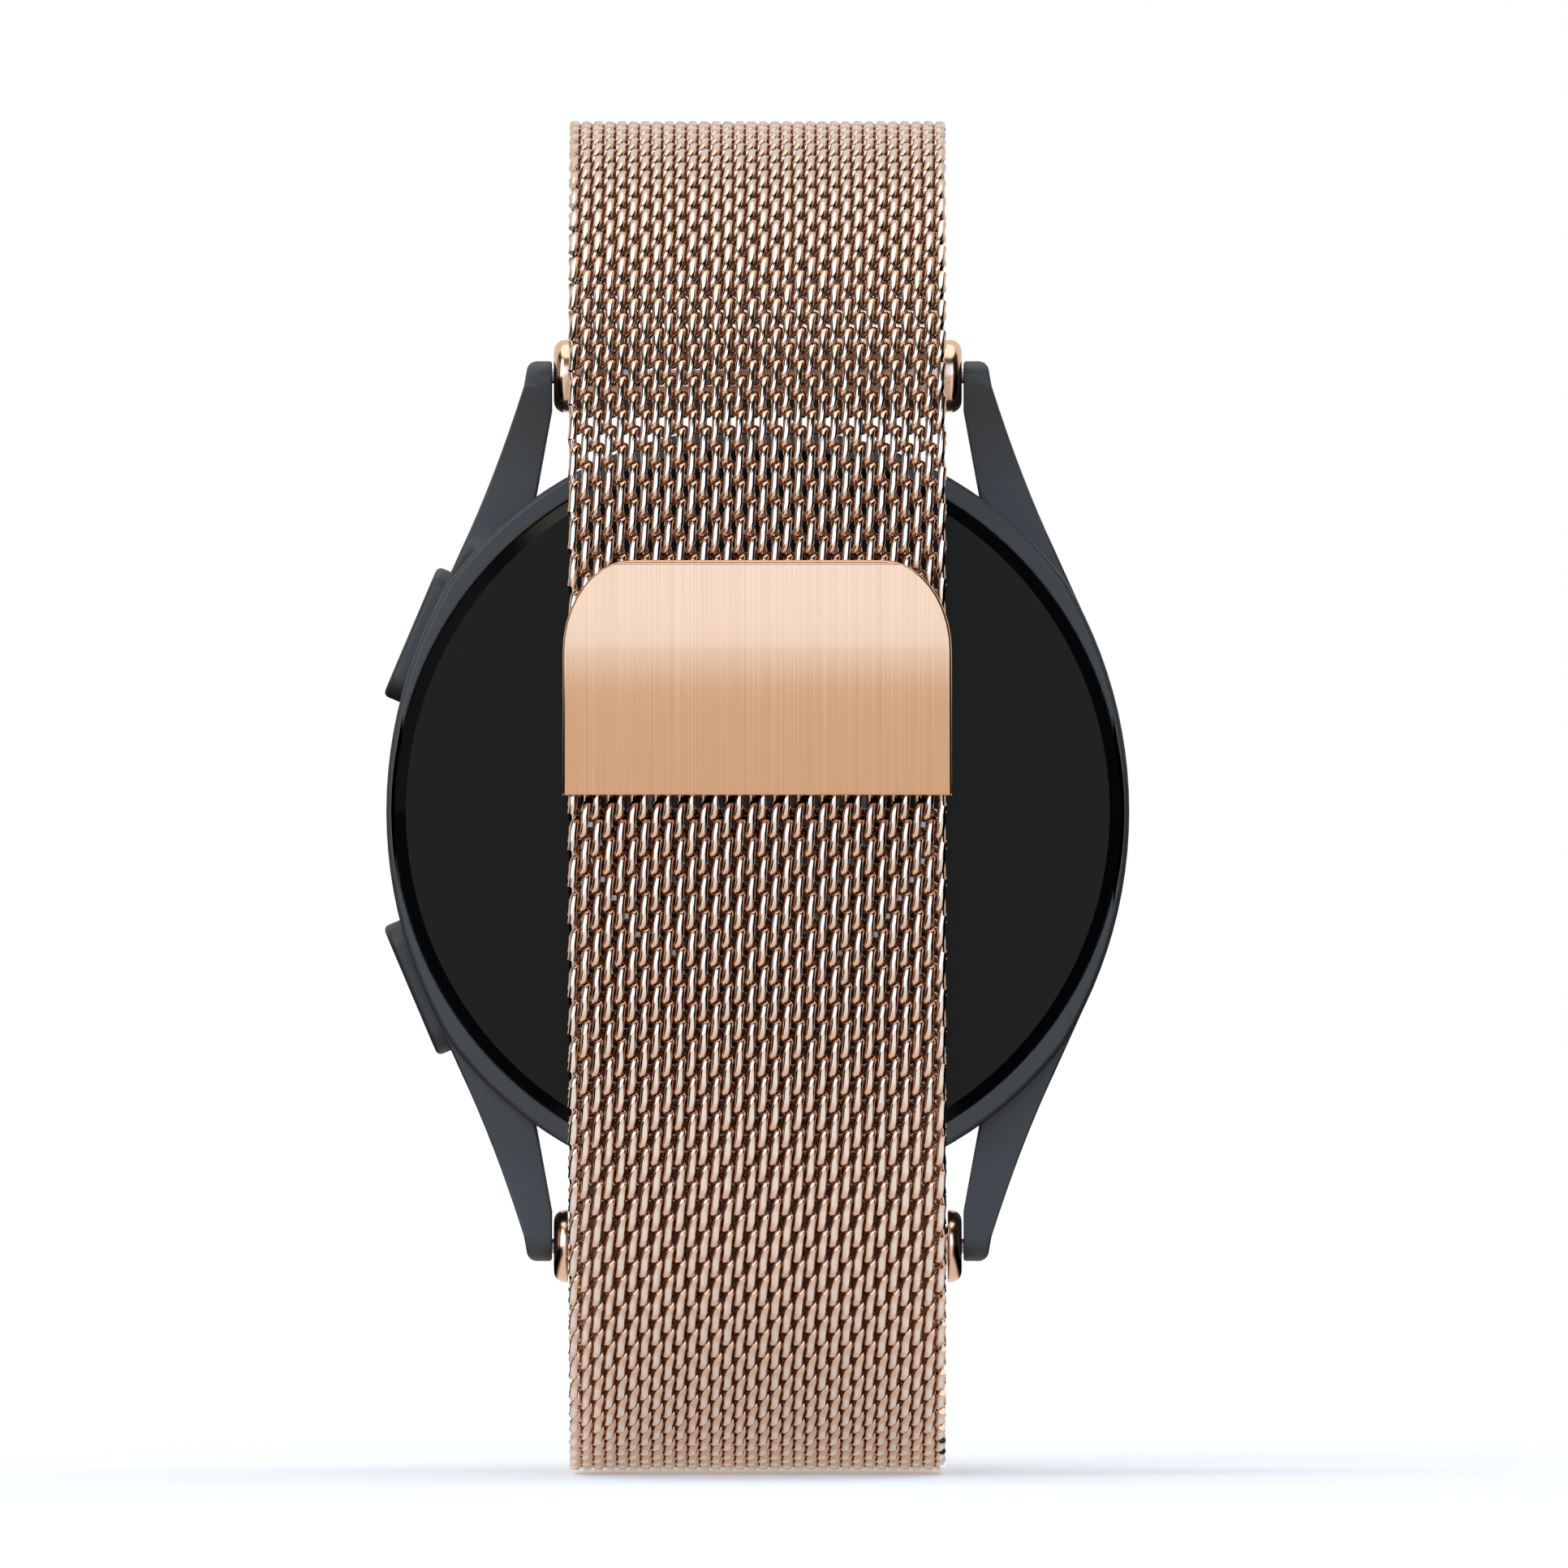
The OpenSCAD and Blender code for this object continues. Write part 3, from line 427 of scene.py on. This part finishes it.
def meshMaterial():
    # the weave's own "rise" runs from 0 in its middle to 1 on its faces; low rise is darkened as painted
    # crevice shade and full rise turns near white as a painted highlight
    material, tree, skin = newMaterial("mesh_rose_gold_wire", {"Metallic": 1.0})
    rise = addNode(tree, "ShaderNodeAttribute", attribute_name="rise").outputs["Fac"]
    # painted shade towards the middle of the weave, then a painted highlight on the flat faces
    low = mixColour(tree, fade(tree, rise, 0.0, wire["paintedShadeEnd"]), wire["paintedCreviceShade"], wire["side"])
    colour = mixColour(tree, fade(tree, rise, wire["paintedHighlightStart"], wire["paintedHighlightEnd"]), low, wire["face"])
    look = addNode(tree, "ShaderNodeGroup", {
        "Colour": colour,
        "Drift": wire["drift"],
        "Roughness": wire["roughness"],
        "Roughness drift": wire["roughnessDrift"],
        "Patch size": wire["patch"],
        "Grain size": wire["grain"],
    }, node_tree=finishGroup)
    tree.links.new(look.outputs["Colour"], skin.inputs["Base Color"])
    tree.links.new(look.outputs["Roughness"], skin.inputs["Roughness"])
    addBump(tree, skin, look.outputs["Height"], wire["grainDepth"])
    return material


# Brushed rose gold, its hairlines running up and down the strap.
clasp = {
    "lineWidth": 0.04 * mm,
    "lineLength": 30 * mm,
    "lineDepth": 0.0003 * mm,
    "darkLine": (0.63, 0.345, 0.186, 1),
    "lightLine": (0.725, 0.402, 0.223, 1),
    "roughness": (0.17, 0.23),
}


def claspMaterial():
    material, tree, skin = newMaterial("clasp_rose_gold_brushed", {"Metallic": 1.0})
    brush = addNode(tree, "ShaderNodeGroup", {
        "Line width": clasp["lineWidth"],
        "Line length": clasp["lineLength"],
    }, node_tree=brushGroup)
    mask = brush.outputs["Mask"]
    tree.links.new(mixColour(tree, mask, clasp["darkLine"], clasp["lightLine"]), skin.inputs["Base Color"])
    tree.links.new(fade(tree, mask, 0.0, 1.0, *clasp["roughness"]), skin.inputs["Roughness"])
    addBump(tree, skin, brush.outputs["Height"], clasp["lineDepth"])
    return material


glass = {
    "cloudScale": 40.0,
    "tints": [(0.972, 0.976, 0.978, 1), (0.985, 0.985, 0.985, 1)],
}


def glassMaterial():
    plain = {"Transmission Weight": 1.0, "IOR": 1.5, "Roughness": 0.0}
    material, tree, skin = newMaterial("front_glass_clear", plain)
    clouds = addNode(tree, "ShaderNodeTexNoise", {"Vector": ownPlace(tree), "Scale": glass["cloudScale"]})
    tree.links.new(mixColour(tree, clouds.outputs["Fac"], *glass["tints"]), skin.inputs["Base Color"])
    return material


# The watch face that the display shows, in mm from its middle: plain marks and three hands.
dial = {
    "radius": 17.6,
    "hub": 0.55,
    "softness": 0.05,
    "markBlur": 0.04,
    "marks": [(60, 16.2, 17.2, 0.09), (12, 14.6, 17.2, 0.26)],   # how many, from, to, half-width
    "hands": [(-55, -1.5, 8.6, 0.42), (58, -1.5, 12.6, 0.3)],    # clockwise turn, from, to, half-width
    "second": (188, -3.0, 14.0, 0.12),
    "panel": (0.004, 0.004, 0.005, 1),
    "black": (0.004, 0.005, 0.008, 1),
    "white": (0.85, 0.88, 0.9, 1),
    "accent": (0.95, 0.32, 0.1, 1),
    "brightness": 0.8,
    "roughness": (0.2, 0.3),
}


def displayMaterial():
    plain = {"Base Color": dial["panel"], "Emission Strength": dial["brightness"]}
    material, tree, skin = newMaterial("display_face", plain)
    soft = dial["softness"]
    place = split(tree, ownPlace(tree))
    right = calc(tree, "MULTIPLY", place["X"], -1 / mm)
    up = calc(tree, "MULTIPLY", place["Z"], 1 / mm)
    far = calc(tree, "SQRT", calc(tree, "MULTIPLY_ADD", right, right, calc(tree, "MULTIPLY", up, up)))
    turn = calc(tree, "ARCTAN2", right, up)

    def bar(along, aside, start, end, half, blur):
        # 1 inside a bar from start to end whose width is twice half
        width = fade(tree, aside, half, half + blur, 1.0, 0.0)
        return calc(tree, "MULTIPLY", within(tree, along, start, end, soft), width)

    def markRing(count, start, end, half):
        aside = calc(tree, "MULTIPLY", calc(tree, "PINGPONG", turn, math.pi / count), far)
        return bar(far, aside, start, end, half, dial["markBlur"])

    def hand(angle, start, end, half):
        sine, cosine = math.sin(math.radians(angle)), math.cos(math.radians(angle))
        along = calc(tree, "MULTIPLY_ADD", right, sine, calc(tree, "MULTIPLY", up, cosine))
        aside = calc(tree, "MULTIPLY_ADD", right, cosine, calc(tree, "MULTIPLY", up, -sine))
        return bar(along, calc(tree, "ABSOLUTE", aside), start, end, half, soft)

    drawn = 0.0
    for values in dial["marks"]:
        drawn = calc(tree, "MAXIMUM", drawn, markRing(*values))
    for values in dial["hands"]:
        drawn = calc(tree, "MAXIMUM", drawn, hand(*values))
    hub = fade(tree, far, dial["hub"], dial["hub"] + soft, 1.0, 0.0)
    second = calc(tree, "MAXIMUM", hand(*dial["second"]), hub)
    glow = mixColour(tree, drawn, dial["black"], dial["white"])
    tree.links.new(mixColour(tree, second, glow, dial["accent"]), skin.inputs["Emission Color"])
    tree.links.new(fade(tree, far, 0.0, dial["radius"], *dial["roughness"]), skin.inputs["Roughness"])
    return material


materials = {slot: madeFinish(slot + "_finish", **values) for slot, values in finishes.items()}
materials["mesh_rose_gold"] = meshMaterial()
materials["clasp_rose_gold"] = claspMaterial()
materials["front_glass"] = glassMaterial()
materials["display"] = displayMaterial()


def slotName(place):
    return place.material.name.split(".")[0]


def dressFrame():
    for cadNode in frame["nodes"].values():
        for place in cadNode.material_slots:
            place.material = materials[slotName(place)]


slotOf = {name: slotName(cadNode.material_slots[0]) for name, cadNode in frame["nodes"].items()}
dressFrame()
print("finishes:", len(materials), "materials")


strap = {
    "thickness": 1.3 * mm,
    "frontRadius": 24 * mm,    # of the bends at the top and the bottom of the loop
    "arcStep": 1.5,            # degrees between the path's points
    "halfWidth": 9.98 * mm,    # to where a coil's first and last loops would close
    "loopsAcross": 16,
    "endTrim": 0.125,          # of a loop, cut from each end so that the strap's edges are straight
    "rowPitch": 0.962 * mm,    # from one coil to the next
    "loopHalfLength": 0.95 * mm,
    "wireRadius": 0.225 * mm,
    "rolledFlat": 0.065 * mm,  # how much of the wire is rolled off at the strap's two faces
    "squareness": 0.5,         # below 1 the loops are flattened
    "straighten": 0.085 * mm,  # how far the loops' long sides are turned upright
    "stepsPerLoop": 12,
    "wireSides": 8,
    "leadIn": 0.95 * mm,       # bare path before the first coil and after the last
    "barrelLap": 0.25 * mm,    # how far the path's start lies inside the upper barrel
    "innerPieces": 3,
    "flapPieces": 2,
}


def arcPoints(centre, radius, start, end):
    count = max(2, round(abs(end - start) / strap["arcStep"]))
    angles = [math.radians(start + (end - start) * i / count) for i in range(count + 1)]
    return [Vector((0, centre[0] + radius * math.cos(a), centre[1] + radius * math.sin(a))) for a in angles]


def strapStretches():
    # The strap's middle line in Y and Z, from the upper barrel over the top, down the front, under the
    # bottom, round the lower roller, and back under the bottom up to the clasp. Arcs meet tangentially.
    half = strap["thickness"] / 2
    front = strap["frontRadius"]
    inner, flap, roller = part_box("band_inner"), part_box("band_flap"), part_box("lower_roller")
    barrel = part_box("upper_barrel")
    barY, barZ = (roller[0].y + roller[1].y) / 2, (roller[1].z + roller[0].z) / 2
    topZ, topY = inner[1].z - half, (barrel[0].y + barrel[1].y) / 2
    innerFront, innerLow = inner[0].y + half, inner[0].z + half
    flapFront, flapLow = flap[0].y + half, flap[0].z + half
    foldRadius = inner[1].y - half - barY
    bendY = innerFront + front
    reach = topY - bendY

    def fall(low, fold):
        # radius and angle of the arc from the bend's lowest point to the fold round the roller
        rise = barZ - low
        radius = (reach ** 2 + rise ** 2 - fold ** 2) / (2 * (rise + fold))
        return radius, math.degrees(math.asin(reach / (radius + fold)))

    topRise = topZ + barZ
    topRadius = (reach ** 2 + topRise ** 2) / (2 * topRise)
    barrelRadius = barrel[1].z + barZ
    topAngle = math.degrees(math.asin(reach / topRadius) - (barrelRadius - strap["barrelLap"]) / topRadius)
    innerRadius, innerAngle = fall(innerLow, foldRadius)
    flapRadius, flapAngle = fall(flapLow, -foldRadius)
    flapBend = bendY - flapFront
    return {
        "inner": [
            arcPoints((bendY, topZ - topRadius), topRadius, 90 - topAngle, 90),
            arcPoints((bendY, topZ - front), front, 90, 180),
            arcPoints((bendY, innerLow + front), front, 180, 270),
            arcPoints((bendY, innerLow + innerRadius), innerRadius, 270, 270 + innerAngle),
        ],
        "fold": [arcPoints((barY, barZ), foldRadius, 90 + innerAngle, flapAngle - 90)],
        "flap": [
            arcPoints((bendY, flapLow + flapRadius), flapRadius, 270 + flapAngle, 270),
            arcPoints((bendY, flapLow + flapBend), flapBend, 270, 180),
            [Vector((0, flapFront, flap[1].z))],
        ],
    }


def pathLength(points):
    return sum((b - a).length for a, b in zip(points, points[1:]))


def joined(stretches):
    points = []
    for stretch in stretches:
        points += stretch[1:] if points and (stretch[0] - points[-1]).length < samePlace else stretch
    return points


def moved(group, geometry, position):
    made = addNode(group, "GeometryNodeSetPosition", {"Geometry": geometry, "Position": position})
    return made.outputs[0]


def buildWeaveTree():
    group, given, result = newGroup("wovenMesh", "GeometryNodeTree", [
        ("Path", "Geometry", None),
        ("First row", "Int", 0),
        ("Rows", "Int", 10),
        ("Lead in", "Float", 0.001),
        ("Row pitch", "Float", 0.001),
        ("Half width", "Float", 0.01),
        ("Loops across", "Float", 16.0),
        ("End trim", "Float", 0.125),
        ("Loop half length", "Float", 0.0009),
        ("Loop half depth", "Float", 0.0004),
        ("Squareness", "Float", 0.6),
        ("Straighten", "Float", 0.00006),
        ("Wire radius", "Float", 0.0002),
        ("Rolled flat", "Float", 0.00007),
        ("Wire sides", "Int", 6),
        ("Steps per loop", "Int", 12),
        ("Material", "Material", None),
    ], [("Mesh", "Geometry")])
    # one coil, lying along X, with the strap's length along Y and its depth along Z
    width = calc(group, "MULTIPLY", given["Half width"], 2.0)
    loopPitch = calc(group, "DIVIDE", width, given["Loops across"])
    kept = calc(group, "MULTIPLY_ADD", given["End trim"], -2.0, given["Loops across"])
    steps = calc(group, "FLOOR", calc(group, "MULTIPLY", kept, given["Steps per loop"]))
    line = addNode(group, "GeometryNodeMeshLine", {"Count": calc(group, "ADD", steps, 1.0)})
    index = addNode(group, "GeometryNodeInputIndex").outputs[0]
    loop = calc(group, "ADD", calc(group, "DIVIDE", index, given["Steps per loop"]), given["End trim"])
    turn = calc(group, "MULTIPLY", loop, math.tau)
    sine = calc(group, "SINE", turn)
    along = calc(group, "MULTIPLY", loop, loopPitch)
    twice = calc(group, "SINE", calc(group, "MULTIPLY", turn, 2.0))
    swing = calc(group, "MULTIPLY", twice, given["Straighten"])
    coilX = calc(group, "ADD", calc(group, "SUBTRACT", along, given["Half width"]), swing)
    backAndForth = calc(group, "MULTIPLY", calc(group, "COSINE", turn), -1.0)
    coilY = calc(group, "MULTIPLY", backAndForth, given["Loop half length"])
    squared = calc(group, "POWER", calc(group, "ABSOLUTE", sine), given["Squareness"])
    upOrDown = calc(group, "MULTIPLY", calc(group, "SIGN", sine), squared)
    coilZ = calc(group, "MULTIPLY", upOrDown, given["Loop half depth"])
    coil = moved(group, line.outputs[0], vector(group, coilX, coilY, coilZ))
    curve = addNode(group, "GeometryNodeMeshToCurve", {"Mesh": coil})
    section = addNode(group, "GeometryNodeCurvePrimitiveCircle", {
        "Resolution": given["Wire sides"],
        "Radius": given["Wire radius"],
    })
    tube = addNode(group, "GeometryNodeCurveToMesh", {
        "Curve": curve.outputs[0],
        "Profile Curve": section.outputs[0],
        "Fill Caps": True,
    })
    # rolling the strap takes the tops off its loops; "rise" is kept for the colour, which paints shade into
    # the crevices and a highlight onto the flattened faces
    full = calc(group, "ADD", given["Loop half depth"], given["Wire radius"])
    top = calc(group, "SUBTRACT", full, given["Rolled flat"])
    raw = split(group, addNode(group, "GeometryNodeInputPosition").outputs[0])
    low = calc(group, "MAXIMUM", raw["Z"], calc(group, "MULTIPLY", top, -1.0))
    cut = calc(group, "MINIMUM", low, top)
    rolled = moved(group, tube.outputs[0], vector(group, raw["X"], raw["Y"], cut))
    rise = calc(group, "DIVIDE", calc(group, "ABSOLUTE", raw["Z"]), top)
    marked = addNode(group, "GeometryNodeStoreNamedAttribute", {
        "Geometry": rolled,
        "Name": "rise",
        "Value": rise,
    }, data_type="FLOAT", domain="POINT")
    # every other coil is turned over, so its loops fall between its neighbours'
    row = calc(group, "ADD", index, given["First row"])
    rows = addNode(group, "GeometryNodeMeshLine", {"Count": given["Rows"]})
    rowY = calc(group, "MULTIPLY_ADD", row, given["Row pitch"], given["Lead in"])
    turnOver = calc(group, "MULTIPLY", calc(group, "MODULO", row, 2.0), math.pi)
    spin = addNode(group, "FunctionNodeEulerToRotation", {0: vector(group, turnOver)})
    copies = addNode(group, "GeometryNodeInstanceOnPoints", {
        "Points": moved(group, rows.outputs[0], vector(group, 0.0, rowY)),
        "Instance": marked.outputs[0],
        "Rotation": spin.outputs[0],
    })
    sheet = addNode(group, "GeometryNodeRealizeInstances", {0: copies.outputs[0]})
    # the flat weave is wrapped on the strap's path
    path = addNode(group, "GeometryNodeMeshToCurve", {"Mesh": given["Path"]})
    flat = split(group, addNode(group, "GeometryNodeInputPosition").outputs[0])
    sample = addNode(group, "GeometryNodeSampleCurve", {"Curves": path.outputs[0], "Length": flat["Y"]},
                     mode="LENGTH", use_all_curves=True)
    outward = addNode(group, "ShaderNodeVectorMath", {0: (1, 0, 0), 1: sample.outputs["Tangent"]},
                      operation="CROSS_PRODUCT")
    lift = scaled(group, outward.outputs[0], flat["Z"])
    onPath = addNode(group, "ShaderNodeVectorMath", {0: sample.outputs["Position"], 1: lift})
    wrapped = addNode(group, "ShaderNodeVectorMath", {0: onPath.outputs[0], 1: vector(group, flat["X"])})
    bent = moved(group, sheet.outputs[0], wrapped.outputs[0])
    smooth = addNode(group, "GeometryNodeSetShadeSmooth", {"Geometry": bent})
    painted = addNode(group, "GeometryNodeSetMaterial", {
        "Geometry": smooth.outputs[0],
        "Material": given["Material"],
    })
    group.links.new(painted.outputs[0], result.inputs[0])
    return group


def evaluatedMesh(piece):
    depsgraph = bpy.context.evaluated_depsgraph_get()
    return bpy.data.meshes.new_from_object(piece.evaluated_get(depsgraph))


def wovenPiece(name, points, values):
    mesh = bpy.data.meshes.new(name + "Path")
    mesh.from_pydata(points, [(i, i + 1) for i in range(len(points) - 1)], [])
    piece = bpy.data.objects.new(name, mesh)
    scene.collection.objects.link(piece)
    weave = piece.modifiers.new("weave", "NODES")
    weave.node_group = weaveTree
    for item in weaveTree.interface.items_tree:
        if item.in_out == "INPUT" and item.name in values:
            weave[item.identifier] = values[item.name]
    woven = evaluatedMesh(piece)
    piece.modifiers.remove(weave)
    piece.data = woven
    bpy.data.meshes.remove(mesh)
    woven.name = name
    return piece


weaveTree = buildWeaveTree()


def buildStrap():
    stretches = strapStretches()
    path = joined(stretches["inner"] + stretches["fold"] + stretches["flap"])
    rowPitch = strap["rowPitch"]
    innerLength = pathLength(joined(stretches["inner"]))
    foldEnd = innerLength + pathLength(joined(stretches["fold"]))
    total = pathLength(path)
    lastRow = int((total - 2 * strap["leadIn"]) / rowPitch)
    foldRow = round((innerLength - strap["leadIn"]) / rowPitch)
    flapRow = round((foldEnd - strap["leadIn"]) / rowPitch)
    runs = [
        ("mesh", 0, foldRow, "watch", strap["innerPieces"]),
        ("meshFlap", flapRow, lastRow + 1, "strap_flap", strap["flapPieces"]),
    ]
    pieces = [("meshFold", foldRow, flapRow, None)]
    for label, first, end, body, parts in runs:
        cuts = [first + round((end - first) * i / parts) for i in range(parts + 1)]
        pieces += [(label + str(i + 1), cuts[i], cuts[i + 1], body) for i in range(parts)]
    shared = {
        "Lead in": strap["leadIn"],
        "Row pitch": rowPitch,
        "Half width": strap["halfWidth"],
        "Loops across": strap["loopsAcross"],
        "End trim": strap["endTrim"],
        "Loop half length": strap["loopHalfLength"],
        "Loop half depth": strap["thickness"] / 2 + strap["rolledFlat"] - strap["wireRadius"],
        "Squareness": strap["squareness"],
        "Straighten": strap["straighten"],
        "Wire radius": strap["wireRadius"],
        "Rolled flat": strap["rolledFlat"],
        "Wire sides": strap["wireSides"],
        "Steps per loop": strap["stepsPerLoop"],
        "Material": materials["mesh_rose_gold"],
    }
    made = {}
    for name, first, end, body in pieces:
        piece = wovenPiece(name, path, shared | {"First row": first, "Rows": end - first})
        if body:
            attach(piece, body)
        made[name] = piece
        print(name, "rows", end - first, "faces", len(piece.data.polygons))
    # the fold follows the watch at one side of the roller and the flap at the other
    fold = joined(stretches["fold"])
    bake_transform(made["meshFold"], "watch", "strap_flap", start=fold[0], end=fold[-1])
    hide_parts("band_inner")
    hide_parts("band_flap")


buildStrap()


# Pieces whose edges are softened: the width of the edge's round in mm, its segments, the least angle in
# degrees that is rounded, and how flat neighbours must be to count as one face, in degrees.
softened = {
    "case": {"name": "caseShell", "edge": 0.14, "segments": 2, "angle": 28, "flat": 0.03},
    "clasp_cover": {"name": "claspPlate", "edge": 0.16, "segments": 3, "angle": 35, "flat": 0.4},
    "upper_button": {"name": "upperButtonCap", "edge": 0.3, "segments": 4, "angle": 28, "flat": 0.4},
    "lower_button": {"name": "lowerButtonCap", "edge": 0.3, "segments": 4, "angle": 28, "flat": 0.4},
    "upper_barrel": {"name": "upperBarrelTube", "edge": 0.05, "segments": 2, "angle": 50, "flat": 0.05},
    "lower_roller": {"name": "lowerRollerTube", "edge": 0.05, "segments": 2, "angle": 50, "flat": 0.05},
}


sharpFrom = 32    # degrees between faces that keep a sharp edge after the rounding


def mergedShape(cadNode, values):
    # the node's mesh with its flat faces joined, and a bevel weight on the edges to round
    shape = bmesh.new()
    shape.from_mesh(cadNode.data)
    bmesh.ops.remove_doubles(shape, verts=shape.verts, dist=samePlace)
    flat = math.radians(values["flat"])
    bmesh.ops.dissolve_limit(shape, angle_limit=flat, verts=shape.verts, edges=shape.edges)
    weight = shape.edges.layers.float.new("bevel_weight_edge")
    for edge in shape.edges:
        # only edges that stand out, so nothing grows into a hole or an inner corner
        if edge.is_manifold and edge.is_convex and edge.calc_face_angle() > math.radians(values["angle"]):
            edge[weight] = 1.0
    return shape


def softenedPiece(nodeName, values):
    cadNode = frame["nodes"][nodeName]
    shape = mergedShape(cadNode, values)
    mesh = bpy.data.meshes.new(values["name"])
    shape.to_mesh(mesh)
    shape.free()
    piece = bpy.data.objects.new(values["name"], mesh)
    scene.collection.objects.link(piece)
    bevel = piece.modifiers.new("bevel", "BEVEL")
    bevel.width = values["edge"] * mm
    bevel.segments = values["segments"]
    bevel.limit_method = "WEIGHT"
    bevel.use_clamp_overlap = False
    bevel.miter_outer = "MITER_ARC"
    rounded = evaluatedMesh(piece)
    rounded.shade_smooth()
    rounded.set_sharp_from_angle(angle=math.radians(sharpFrom))
    piece.modifiers.clear()
    piece.data = rounded
    level = piece.modifiers.new("level", "WEIGHTED_NORMAL")     # large faces keep their true slope
    level.keep_sharp = True
    piece.data = evaluatedMesh(piece)
    piece.modifiers.clear()
    bpy.data.meshes.remove(mesh)
    bpy.data.meshes.remove(rounded)
    piece.data.materials.clear()
    piece.data.materials.append(materials[slotOf[nodeName]])
    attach(piece, body_of(cadNode)[0])
    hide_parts(nodeName)
    print(values["name"], len(piece.data.polygons), "faces")


for nodeName, values in softened.items():
    softenedPiece(nodeName, values)
